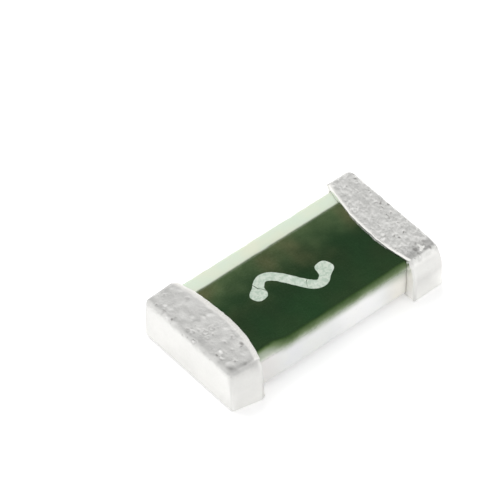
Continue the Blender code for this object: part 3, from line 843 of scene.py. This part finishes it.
def tin_painted_light(wrap, rings, normals, to_rim):
    """How bright the tin is painted at each point, and how much of the rim's painted highlight it gets. The
    painted light is even on the end face, the upright corners get a painted dark line, and the sides follow
    the wrap's painted light and shade up their height. The top is clouded in broad patches of its own tone,
    with painted shade towards the end and the front corner and painted light near the rim."""
    x, y, z = np.moveaxis(rings, -1, 0)
    sideways = normals[..., 1] ** 2 / np.maximum(normals[..., 0] ** 2 + normals[..., 1] ** 2, 1e-6)
    upwards = smooth_step(0.3, 0.9, normals[..., 2] - 0.6 * np.abs(normals[..., 1]))
    # Painted light and shade up the sides, set by height, and painted shade that dims them near the rim.
    side = np.interp(z / CHIP_HIGH[2], (0.15, 0.50, 0.84, 0.94), wrap.painted_side_light)
    side += (0.80 - side) * smooth_step(0.075 * MM, 0.035 * MM, to_rim)
    # Painted light on faces that look along the chip: even on the end face, brighter on the rim's inner face.
    facing = 0.84 + 0.16 * smooth_step(0.006 * MM, 0.0, to_rim)
    # Painted shade: a dark line where the upright corners turn.
    corner = 0.36 * sideways * (1.0 - sideways)
    shade = (1.0 - upwards) * (sideways * side + (1.0 - sideways) * facing - corner)
    to_end = CHIP_HIGH[0] - wrap.side * x + 0.04 * MM * wrap.cloud(rings, 0.12, 14)
    # Painted shade along the end and at the front corner, and painted light near the rim; the broad clouds
    # are the tin's own tone.
    painted_end_shade = wrap.painted_end_shade * smooth_step(0.20 * MM, 0.02 * MM, to_end)
    painted_corner_shade = (0.16 + 0.22 * wrap.wrinkled) * smooth_step(0.66 * HALF_WIDTH, 0.92 * HALF_WIDTH, -y)
    painted_light_near_rim = 0.06 * smooth_step(0.28 * MM, 0.08 * MM, to_rim)
    broad = 0.04 * wrap.cloud(rings, 0.30, 12)
    broad += (1.0 - wrap.wrinkled) * (0.07 * wrap.cloud(rings, 0.075, 21) - 0.03)
    top_clouds_and_painted_light = 1.0 - painted_end_shade - painted_corner_shade + painted_light_near_rim + broad
    # Painted highlight: the rim's bead is brighter than the rest of the tin.
    rim = smooth_step(1.5 * wrap.bead, 1.1 * wrap.bead, to_rim) * upwards
    return (shade + upwards * top_clouds_and_painted_light) * (1.0 - rim) + 1.04 * rim, rim


def build_wrap_layer(wrap, section, settings, name, outer_depth, inner_depth, relief):
    """One layer of a wrap as a closed skin: its outer surface to the body, then its inner one back."""
    ideal = wrap_surface(wrap, section, settings, 0.0)[0]
    sunk = sag(wrap, ideal)
    fall = fall_to_strip(wrap, ideal)
    surfaces = []
    looks = {"grain": [], "coarse": [], "flecks_and_painted_light": [], "shade": [], "rim": []}
    for depth in (outer_depth, inner_depth):
        rings, normals, held, to_rim = wrap_surface(wrap, section, settings, depth)
        move = sunk
        grain = coarse = flecks_and_painted_light = np.zeros(rings.shape[:2])
        if relief and depth == outer_depth:
            fine, grain, coarse, flecks_and_painted_light = tin_relief(wrap, rings, to_rim, settings.grain)
            move = move + fine
        # The tin's painted light and shade, and how much of the rim's painted highlight each point gets.
        shade, rim = tin_painted_light(wrap, rings, normals, to_rim)
        moved = rings - normals * (move * (1.0 - held))[..., None]
        moved[..., 2] -= fall * (1.0 - held)
        surfaces.append(moved)
        for values, layer in zip((grain, coarse, flecks_and_painted_light, shade, rim), looks.values()):
            layer.append(values)
    vertices, faces = closed_tube(np.concatenate((surfaces[0], surfaces[1][::-1])))
    layers = {key: gathered(np.concatenate((outer, inner[::-1]))) for key, (outer, inner) in looks.items()}
    return new_piece(name, vertices, faces, layers)


# Finishes


def scaled(colour, shares):
    """A colour times one share, or times one for each of its channels."""
    return tuple(np.array(colour) * shares)


class Recipe:
    """A node tree whose looks are mixed from values, colours and other nodes' sockets."""

    def __init__(self, tree):
        self.tree = tree

    def feed(self, node, inputs):
        """Gives a node's inputs their values, colours or sockets."""
        for name, value in inputs.items():
            socket = node.inputs[name]
            if isinstance(value, bpy.types.NodeSocket):
                self.tree.links.new(value, socket)
            else:
                socket.default_value = (*value[:3], 1.0) if socket.type == "RGBA" else value

    def node(self, kind, inputs=None, **settings):
        """A node with its settings and inputs."""
        node = self.tree.nodes.new(kind)
        for key, value in settings.items():
            setattr(node, key, value)
        self.feed(node, inputs or {})
        return node

    def spread(self, value, low, high, to_low=0.0, to_high=1.0):
        """A value moved smoothly from one range to another, and held within it."""
        inputs = {"Value": value, "From Min": low, "From Max": high, "To Min": to_low, "To Max": to_high}
        return self.node("ShaderNodeMapRange", inputs, interpolation_type="SMOOTHSTEP").outputs["Result"]

    def blend(self, share, first, second, mode="MIX"):
        """Two colours mixed by a share."""
        inputs = {0: share, 6: first, 7: second}
        return self.node("ShaderNodeMix", inputs, data_type="RGBA", blend_type=mode).outputs[2]

    def join(self, first, second, how="ADD"):
        """Two values added, or joined by another operation."""
        return self.node("ShaderNodeMath", {0: first, 1: second}, operation=how).outputs[0]


class Finish(Recipe):
    """A node material whose patterns are placed by object coordinates, turned to millimetres."""

    def __init__(self, name, colour, per_metre=1 / MM):
        self.material = bpy.data.materials.new(name)
        self.material.use_nodes = True
        self.material.diffuse_color = (*colour, 1.0)
        super().__init__(self.material.node_tree)
        self.shader = self.tree.nodes["Principled BSDF"]
        place = self.node("ShaderNodeTexCoord").outputs["Object"]
        mapping = self.node("ShaderNodeMapping", {"Vector": place, "Scale": (per_metre,) * 3})
        self.place = mapping.outputs["Vector"]

    def noise(self, per_mm, detail=3.0, roughness=0.55, distortion=0.0):
        """Noise with so many features to a millimetre."""
        inputs = {"Vector": self.place, "Scale": per_mm, "Detail": detail}
        inputs.update({"Roughness": roughness, "Distortion": distortion})
        return self.node("ShaderNodeTexNoise", inputs).outputs["Fac"]

    def relief(self, height, distance):
        """A bump whose full height is a distance in metres."""
        inputs = {"Height": height, "Strength": 1.0, "Distance": distance}
        return self.node("ShaderNodeBump", inputs).outputs[0]

    def layer(self, name):
        """The values of a piece's own point attribute."""
        return self.node("ShaderNodeAttribute", attribute_name=name).outputs["Fac"]

    def along(self, axis):
        """How far a place lies along an axis, in millimetres."""
        return self.node("ShaderNodeSeparateXYZ", {0: self.place}).outputs[axis]

    def wear(self, colour, roughness, normal, **more):
        """Gives the shader its colour, roughness and relief, and hands the material out."""
        self.feed(self.shader, {"Base Color": colour, "Roughness": roughness, "Normal": normal})
        self.feed(self.shader, {name.replace("_", " "): value for name, value in more.items()})
        return self.material


def edge_colour(mix, dark, ceramic):
    """The colour across the coat's edge: dark coat, deep green, olive, grey green, then bare ceramic."""
    bare = mix.layer("bare")
    ramp = mix.node("ShaderNodeValToRGB", {"Fac": bare})
    stops = ((0.10, (0.032, 0.072, 0.016)), (0.28, (0.15, 0.21, 0.10)), (0.5, (0.40, 0.45, 0.36)))
    ramp.color_ramp.elements.remove(ramp.color_ramp.elements[1])
    for position, colour in stops:
        ramp.color_ramp.elements.new(position).color = (*colour, 1.0)
    near_coat = mix.blend(mix.spread(bare, 0.0, 0.12), dark, ramp.outputs["Color"])
    return mix.blend(mix.spread(bare, 0.42, 0.95), near_coat, ceramic)


def coat_colour(mix, settings):
    """The coat's dark green, lighter by the front and olive towards the rear, with browner and greener
    clouds."""
    broad = mix.spread(mix.noise(1.8, 2.0), 0.3, 0.7, -0.13, 0.13)
    moved = mix.join(mix.along("Y"), broad)
    dark = mix.blend(mix.spread(moved, -0.30, -0.70), settings.colour, scaled(settings.colour, 1.25))
    colour = mix.blend(mix.spread(moved, -0.15, 0.60), dark, settings.olive)
    fine = mix.spread(mix.noise(7.0), 0.35, 0.65)
    colour = mix.blend(1.0, colour, mix.blend(fine, (0.90, 0.93, 0.90), (1.10, 1.06, 1.08)), "MULTIPLY")
    tint = mix.spread(mix.noise(1.6, 1.0), 0.35, 0.65)
    tint = mix.blend(tint, (0.84, 1.02, 0.95), (1.28, 1.0, 1.02))
    return mix.blend(1.0, colour, tint, "MULTIPLY")


def ceramic_colour(mix, settings):
    """The ceramic's pale body with soft clouds, a painted light that makes it whiter right of its middle, a
    painted shade that makes it darker at its left end, creamy at its right end, and greener on the bare
    strip."""
    clouds = mix.spread(mix.noise(2.5, 2.0), 0.3, 0.7)
    body, strip = settings.colour, settings.strip_colour
    along = mix.along("X")
    # Painted light: the wall is whiter right of its middle.
    bright = mix.join(mix.spread(along, -0.1, 0.35), mix.spread(along, 0.9, 0.5), "MULTIPLY")
    wall = mix.blend(bright, mix.blend(clouds, body, scaled(body, (0.97, 0.965, 1.0))), (0.97, 0.97, 0.96))
    # Painted shade: the wall is darker at its left end.
    wall = mix.blend(mix.spread(along, -0.65, -1.05), wall, (0.77, 0.755, 0.74))
    wall = mix.blend(mix.spread(along, 0.70, 1.00, 0.0, 0.7), wall, (0.87, 0.84, 0.75))
    strip = mix.blend(clouds, strip, scaled(strip, (1.08, 1.0, 0.97)))
    return mix.blend(mix.layer("strip"), wall, strip)


def ceramic_finish(settings, coat_settings):
    """Fired alumina: matte, slightly translucent, with grain, specks and the coat's green near its edge."""
    mix = Finish("fired alumina", settings.colour)
    colour = edge_colour(mix, coat_colour(mix, coat_settings), ceramic_colour(mix, settings))
    specks = mix.spread(mix.noise(38.0, 2.0), 0.62, 0.74)
    colour = mix.blend(mix.join(specks, 0.25, "MULTIPLY"), colour, (0.66, 0.68, 0.64))
    grain = mix.noise(60.0, 4.0)
    roughness = mix.spread(grain, 0.3, 0.7, 0.42, 0.62)
    return mix.wear(
        colour,
        roughness,
        mix.relief(grain, 0.0012 * MM),
        Subsurface_Weight=0.5,
        Subsurface_Radius=(1.0, 1.0, 0.9),
        Subsurface_Scale=0.07 * MM,
        Specular_IOR_Level=0.3,
    )


def coat_finish(settings, ceramic_settings):
    """The green glassy coat: dark and smooth, thinner and olive at its edges, with faint ripples."""
    mix = Finish("green glassy coat", settings.colour)
    colour = edge_colour(mix, coat_colour(mix, settings), ceramic_colour(mix, ceramic_settings))
    fine = mix.noise(24.0)
    roughness = mix.spread(fine, 0.3, 0.7, 0.22, 0.32)
    return mix.wear(colour, roughness, mix.relief(fine, 0.0003 * MM), Specular_IOR_Level=0.15)


def ink_finish(settings):
    """Pale ink: chalky, with fine streaks, worn thin spots and a greenish cast from the coat below."""
    mix = Finish("pale ink", settings.colour)
    streaks = mix.noise(26.0, 4.0, distortion=0.6)
    thin = scaled(settings.colour, (0.72, 0.80, 0.76))
    colour = mix.blend(mix.spread(streaks, 0.38, 0.62), thin, settings.colour)
    bright = mix.spread(mix.noise(9.0, 2.0), 0.5, 0.75)
    colour = mix.blend(mix.join(bright, 0.6, "MULTIPLY"), colour, (0.74, 0.80, 0.74))
    roughness = mix.spread(streaks, 0.3, 0.7, 0.40, 0.62)
    return mix.wear(colour, roughness, mix.relief(streaks, 0.0010 * MM), Specular_IOR_Level=0.3)


def tin_finish(settings):
    """Matte tin: a rough metal, even on the sides but for their painted light, and mottled by its grain on
    the top, with painted shade in its dark pores, painted glints and shade in its flecks and a painted
    highlight along the rim.
    """
    tin = settings.colour
    mix = Finish("matte tin", tin)
    grain, coarse, flecks_and_painted_light, rim = (mix.layer(name) for name in ("grain", "coarse", "flecks_and_painted_light", "rim"))
    fine = mix.noise(30.0, 4.0, 0.6)
    mottle = mix.noise(10.0)
    share = mix.join(mix.spread(grain, -0.8, 0.8, -0.12, 0.12), mix.spread(mottle, 0.3, 0.7, 0.25, 0.80))
    colour = mix.blend(share, scaled(tin, (0.72, 0.725, 0.72)), tin)
    # Painted shade: dark pores where the fine noise is low.
    painted_pore_shade = mix.join(mix.spread(fine, 0.38, 0.28), 0.7, "MULTIPLY")
    colour = mix.blend(painted_pore_shade, colour, (0.30, 0.29, 0.27))
    clouds = mix.spread(mix.noise(3.0, 2.0), 0.3, 0.7)
    colour = mix.blend(coarse, mix.blend(clouds, scaled(tin, 0.96), tin), colour)
    # Dark flecks: stains, and painted shade in pits, grooves and the ditches round the domes.
    colour = mix.blend(mix.spread(flecks_and_painted_light, -0.10, -1.0, 0.0, 0.80), colour, (0.28, 0.27, 0.26))
    # Painted highlight: the rim's bead turns near white.
    colour = mix.blend(rim, colour, (1.0, 0.99, 0.955))
    # Painted light and shade: the colour is scaled by each point's painted brightness.
    colour = mix.blend(mix.layer("shade"), (0.0, 0.0, 0.0), colour)
    # Painted glints: the light flecks turn near white after the painted shade.
    colour = mix.blend(mix.spread(flecks_and_painted_light, 0.15, 0.9, 0.0, 0.9), colour, (0.98, 0.98, 0.96))
    frosted = mix.join(mix.spread(rim, 0.0, 1.0, 0.0, 0.12), mix.spread(flecks_and_painted_light, 0.6, 1.0, 0.0, 0.50))
    roughness = mix.join(mix.spread(fine, 0.3, 0.7, 0.46, 0.32), frosted)
    height = mix.join(fine, mix.spread(coarse, 0.0, 1.0, 0.08, 1.0), "MULTIPLY")
    height = mix.join(height, mix.join(grain, 0.5, "MULTIPLY"))
    return mix.wear(colour, roughness, mix.relief(height, 0.0070 * MM), Metallic=1.0)


def metal_finish(name, colour, per_mm, roughness):
    """A printed, dipped or plated metal layer: fine grain in its colour, gloss and surface."""
    mix = Finish(name, colour)
    grain = mix.noise(per_mm, 4.0)
    broad = mix.noise(per_mm / 6, 2.0)
    share = mix.join(mix.spread(grain, 0.3, 0.7, 0.0, 0.6), mix.spread(broad, 0.3, 0.7, 0.0, 0.4))
    mottled = mix.blend(share, scaled(colour, 0.78), colour)
    gloss = mix.spread(grain, 0.3, 0.7, roughness, roughness + 0.15)
    return mix.wear(mottled, gloss, mix.relief(grain, 0.0015 * MM), Metallic=1.0)


def glass_finish():
    """Fired glass: pale and milky, with small bubbles in its colour and surface."""
    colour = (0.72, 0.78, 0.74)
    mix = Finish("fired glass", colour)
    bubbles = mix.node("ShaderNodeTexVoronoi", {"Vector": mix.place, "Scale": 28.0}).outputs["Distance"]
    ring = mix.spread(bubbles, 0.12, 0.22)
    roughness = mix.spread(mix.noise(20.0), 0.3, 0.7, 0.10, 0.22)
    return mix.wear(mix.blend(ring, (0.86, 0.90, 0.88), colour), roughness, mix.relief(ring, 0.0010 * MM))


def put_on(thing, finish):
    """Gives a piece or a carried-over node one finish."""
    if not thing.material_slots:
        thing.data.materials.append(finish)
    for place in thing.material_slots:
        place.material = finish


def settle(piece, finish, slot, *nodes):
    """Fixes a new piece to the chip, in its finish, in place of the nodes that it stands for."""
    put_on(piece, finish)
    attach(piece, "root")
    if nodes:
        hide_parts(*nodes)


# Stage

WHITE = (1.0, 1.0, 1.0)


def floor_finish():
    """White paper: it shows white to the camera, to gloss and through glass, with the chip's shadow."""
    mix = Finish("studio floor", WHITE, per_metre=1.0)
    paper = mix.spread(mix.noise(900.0, 2.0), 0.3, 0.7)
    paper = mix.blend(paper, (0.88, 0.88, 0.88), (0.90, 0.90, 0.90))
    mix.feed(mix.shader, {"Base Color": paper, "Roughness": 0.9, "Specular IOR Level": 0.1})
    path = mix.node("ShaderNodeLightPath").outputs
    seen = mix.join(path["Is Camera Ray"], path["Is Glossy Ray"], "MAXIMUM")
    seen = mix.join(seen, path["Is Transmission Ray"], "MAXIMUM")
    dim = mix.node("ShaderNodeBsdfDiffuse", {"Color": (0.95, 0.95, 0.95)})
    glow = mix.node("ShaderNodeEmission", {"Color": WHITE, "Strength": 0.30})
    bright = mix.node("ShaderNodeAddShader", {0: dim.outputs[0], 1: glow.outputs[0]})
    mixed = mix.node("ShaderNodeMixShader", {0: seen, 1: mix.shader.outputs[0], 2: bright.outputs[0]})
    mix.feed(mix.tree.nodes["Material Output"], {"Surface": mixed.outputs[0]})
    return mix.material


def build_floor():
    """A wide floor, level near the chip, that rises as the fourth power of the distance beyond."""
    reach = 150 * MM
    run = np.linspace(-1.0, 1.0, 41) ** 3 * reach
    x, y = np.meshgrid(run, run, indexing="ij")
    distance = np.hypot(x, y) / reach
    points = points_of(x, y, 2.0 * MM * np.clip(distance - 0.4, 0.0, 1.0) ** 4)
    index = np.arange(len(run) ** 2).reshape(len(run), len(run))
    mesh = bpy.data.meshes.new("studio_floor")
    mesh.from_pydata(points.reshape(-1, 3).tolist(), [], grid_quads(index).tolist())
    mesh.shade_smooth()
    floor = add_thing("studio_floor", mesh)
    put_on(floor, floor_finish())


# The way that the camera's line of sight goes on from a level mirror, and the way up the sky from there
PATCH_DIRECTION = (0.417, 0.529, 0.739)
PATCH_UP = (-0.457, -0.580, 0.674)


def build_world(settings):
    """An even sky that lights the chip, shows white behind it, and is white to gloss but for one soft grey
    patch, lighter upwards, which the chip's flat tops mirror to the camera."""
    world = bpy.data.worlds.new("studio")
    bpy.context.scene.world = world
    world.use_nodes = True
    mix = Recipe(world.node_tree)
    place = mix.node("ShaderNodeTexCoord").outputs["Generated"]

    def towards(direction):
        """How far a direction of the sky points the given way."""
        inputs = {0: place, 1: direction}
        return mix.node("ShaderNodeVectorMath", inputs, operation="DOT_PRODUCT").outputs["Value"]

    def sky(colour, strength=1.0):
        """A sky of one colour."""
        return mix.node("ShaderNodeBackground", {"Color": colour, "Strength": strength}).outputs[0]

    def choose(ray, otherwise, chosen):
        """One sky for a kind of ray, and another for the rest."""
        share = mix.node("ShaderNodeLightPath").outputs[ray]
        return mix.node("ShaderNodeMixShader", {0: share, 1: otherwise, 2: chosen}).outputs[0]

    tones = ((settings.patch_tone + step,) * 3 for step in (-0.30, 0.30))
    tone = mix.blend(mix.spread(towards(PATCH_UP), -0.55, 0.55), *tones)
    grey = mix.blend(mix.spread(towards(PATCH_DIRECTION), 0.72, 0.96), WHITE, tone)
    lit = choose("Is Glossy Ray", sky(WHITE, settings.sky_strength), sky(grey))
    seen = choose("Is Camera Ray", lit, sky(WHITE))
    mix.feed(mix.tree.nodes["World Output"], {"Surface": seen})


def build_lamp(name, direction, strength, spread_degrees):
    """A soft distant lamp that shines from a direction, and that gloss doesn't mirror."""
    lamp = bpy.data.lights.new(name, "SUN")
    lamp.energy = strength
    lamp.angle = math.radians(spread_degrees)
    holder = add_thing(name, lamp)
    holder.visible_glossy = False
    holder.rotation_mode = "QUATERNION"
    up = (0.0, 0.0, 1.0)
    towards = np.array(direction) / np.linalg.norm(direction)
    angle = math.acos(float(np.dot(up, towards)))
    holder.rotation_quaternion = Matrix.Rotation(angle, 4, np.cross(up, towards).tolist()).to_quaternion()


def build_camera(settings):
    """A long lens on the photograph's line of sight, level but for a slight roll, aimed at the point that
    stands at the middle of its frame."""
    right = np.array((0.7693, -0.6386, -0.0226))
    right /= np.linalg.norm(right)
    up = np.array((0.4839, 0.5592, 0.6731))
    up -= right * np.dot(up, right)
    up /= np.linalg.norm(up)
    back = np.cross(right, up)
    aim = np.array((-0.165 * MM, 0.568 * MM, CHIP_HIGH[2]))
    camera = bpy.data.cameras.new("camera")
    camera.lens = settings.lens
    distance = settings.frame_width * camera.lens / camera.sensor_width
    camera.clip_start = distance / 20
    camera.clip_end = distance * 10
    holder = add_thing("camera", camera)
    place = np.eye(4)
    place[:3, :3] = np.stack((right, up, back), axis=-1)
    place[:3, 3] = aim + back * distance
    holder.matrix_world = Matrix(place.tolist())
    bpy.context.scene.camera = holder


# Operators


class CHIPFUSE_OT_ceramic(bpy.types.Operator):
    """Build the bare ceramic plate"""

    bl_idname = "chip_fuse.ceramic"
    bl_label = "Ceramic Plate"

    def execute(self, context):
        settings = context.scene.chip_fuse
        finish = ceramic_finish(settings.ceramic, settings.coat)
        settle(build_ceramic(settings.ceramic), finish, "alumina", "substrate")
        return {"FINISHED"}


class CHIPFUSE_OT_coat(bpy.types.Operator):
    """Build the green glassy coat"""

    bl_idname = "chip_fuse.coat"
    bl_label = "Green Coat"

    def execute(self, context):
        settings = context.scene.chip_fuse
        piece = build_coat(settings.coat, settings.ceramic.feather)
        settle(piece, coat_finish(settings.coat, settings.ceramic), "green_coat", "green_overcoat")
        return {"FINISHED"}


class CHIPFUSE_OT_mark(bpy.types.Operator):
    """Print the plain wave on the coat"""

    bl_idname = "chip_fuse.mark"
    bl_label = "Printed Mark"

    def execute(self, context):
        settings = context.scene.chip_fuse.mark
        settle(build_mark(settings), ink_finish(settings), "green_coat")
        return {"FINISHED"}


class CHIPFUSE_OT_ends(bpy.types.Operator):
    """Build the three nested layers of each wrapped end"""

    bl_idname = "chip_fuse.ends"
    bl_label = "Wrapped Ends"

    def execute(self, context):
        settings = context.scene.chip_fuse.ends
        tin = tin_finish(settings)
        nickel = metal_finish("plated nickel", (0.66, 0.62, 0.55), 45.0, 0.28)
        silver = metal_finish("dipped silver", (0.76, 0.75, 0.72), 30.0, 0.40)
        layers = (
            ("tin_skin", "tin_plating", "tin", 0.0, 0.010 * MM, tin),
            ("nickel_skin", "nickel_barrier", "nickel", 0.012 * MM, 0.018 * MM, nickel),
            ("silver_paste", "silver_base", "printed_silver", 0.020 * MM, 0.045 * MM, silver),
        )
        for wrap in WRAPS:
            for piece, node, slot, outer, inner, finish in layers:
                fine = finish == tin
                section = new_section(36, 150, 80, 7) if fine else new_section(12, 50, 30, 4)
                built = build_wrap_layer(wrap, section, settings, f"{piece}_{wrap.name}", outer, inner, fine)
                settle(built, finish, slot, f"{node}_{wrap.name}")
        return {"FINISHED"}


class CHIPFUSE_OT_prints(bpy.types.Operator):
    """Finish the printed layers inside the chip"""

    bl_idname = "chip_fuse.prints"
    bl_label = "Inner Prints"

    def execute(self, context):
        silver = metal_finish("printed silver", (0.75, 0.74, 0.71), 40.0, 0.42)
        alloy = metal_finish("fuse alloy", (0.78, 0.58, 0.42), 35.0, 0.30)
        glass = glass_finish()
        finishes = {
            "heat_barrier_glaze": glass,
            "arc_quench_glass": glass,
            "fuse_link": alloy,
            "top_contact_left": silver,
            "top_contact_right": silver,
            "bottom_contact_left": silver,
            "bottom_contact_right": silver,
        }
        for node, finish in finishes.items():
            put_on(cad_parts[node], finish)
        return {"FINISHED"}


class CHIPFUSE_OT_stage(bpy.types.Operator):
    """Set up the floor, the light and the camera"""

    bl_idname = "chip_fuse.stage"
    bl_label = "Stage"

    def execute(self, context):
        settings = context.scene.chip_fuse.stage
        context.scene.view_settings.view_transform = "Standard"
        build_floor()
        build_world(settings)
        key = settings.key_strength
        build_lamp("key lamp", (0.0, 0.50, 0.86), key, spread_degrees=45.0)
        build_lamp("front fill", (0.2, -0.95, 0.25), 0.75 * key, spread_degrees=60.0)
        build_camera(settings)
        return {"FINISHED"}


class CHIPFUSE_PT_panel(bpy.types.Panel):
    """The sidebar panel"""

    bl_idname = "CHIPFUSE_PT_panel"
    bl_label = "Chip Fuse"
    bl_space_type = "VIEW_3D"
    bl_region_type = "UI"
    bl_category = "Chip Fuse"

    def draw(self, context):
        groups = context.scene.chip_fuse
        for operator, group in STEPS:
            box = self.layout.box()
            box.operator(operator)
            if group:
                settings = getattr(groups, group)
                for name in settings.__annotations__:
                    box.prop(settings, name)


STEPS = (
    ("chip_fuse.ceramic", "ceramic"),
    ("chip_fuse.coat", "coat"),
    ("chip_fuse.mark", "mark"),
    ("chip_fuse.ends", "ends"),
    ("chip_fuse.prints", None),
    ("chip_fuse.stage", "stage"),
)

CLASSES = (
    CeramicSettings,
    CoatSettings,
    MarkSettings,
    EndSettings,
    StageSettings,
    ChipFuseSettings,
    CHIPFUSE_OT_ceramic,
    CHIPFUSE_OT_coat,
    CHIPFUSE_OT_mark,
    CHIPFUSE_OT_ends,
    CHIPFUSE_OT_prints,
    CHIPFUSE_OT_stage,
    CHIPFUSE_PT_panel,
)


def register():
    """Adds the classes and the scene's settings."""
    for item in CLASSES:
        bpy.utils.register_class(item)
    bpy.types.Scene.chip_fuse = PointerProperty(type=ChipFuseSettings)


def unregister():
    """Removes them again."""
    del bpy.types.Scene.chip_fuse
    for item in reversed(CLASSES):
        bpy.utils.unregister_class(item)


def main():
    """Builds everything in order."""
    register()
    for operator, _ in STEPS:
        group, name = operator.split(".")
        getattr(getattr(bpy.ops, group), name)()


if __name__ == "__main__":
    main()
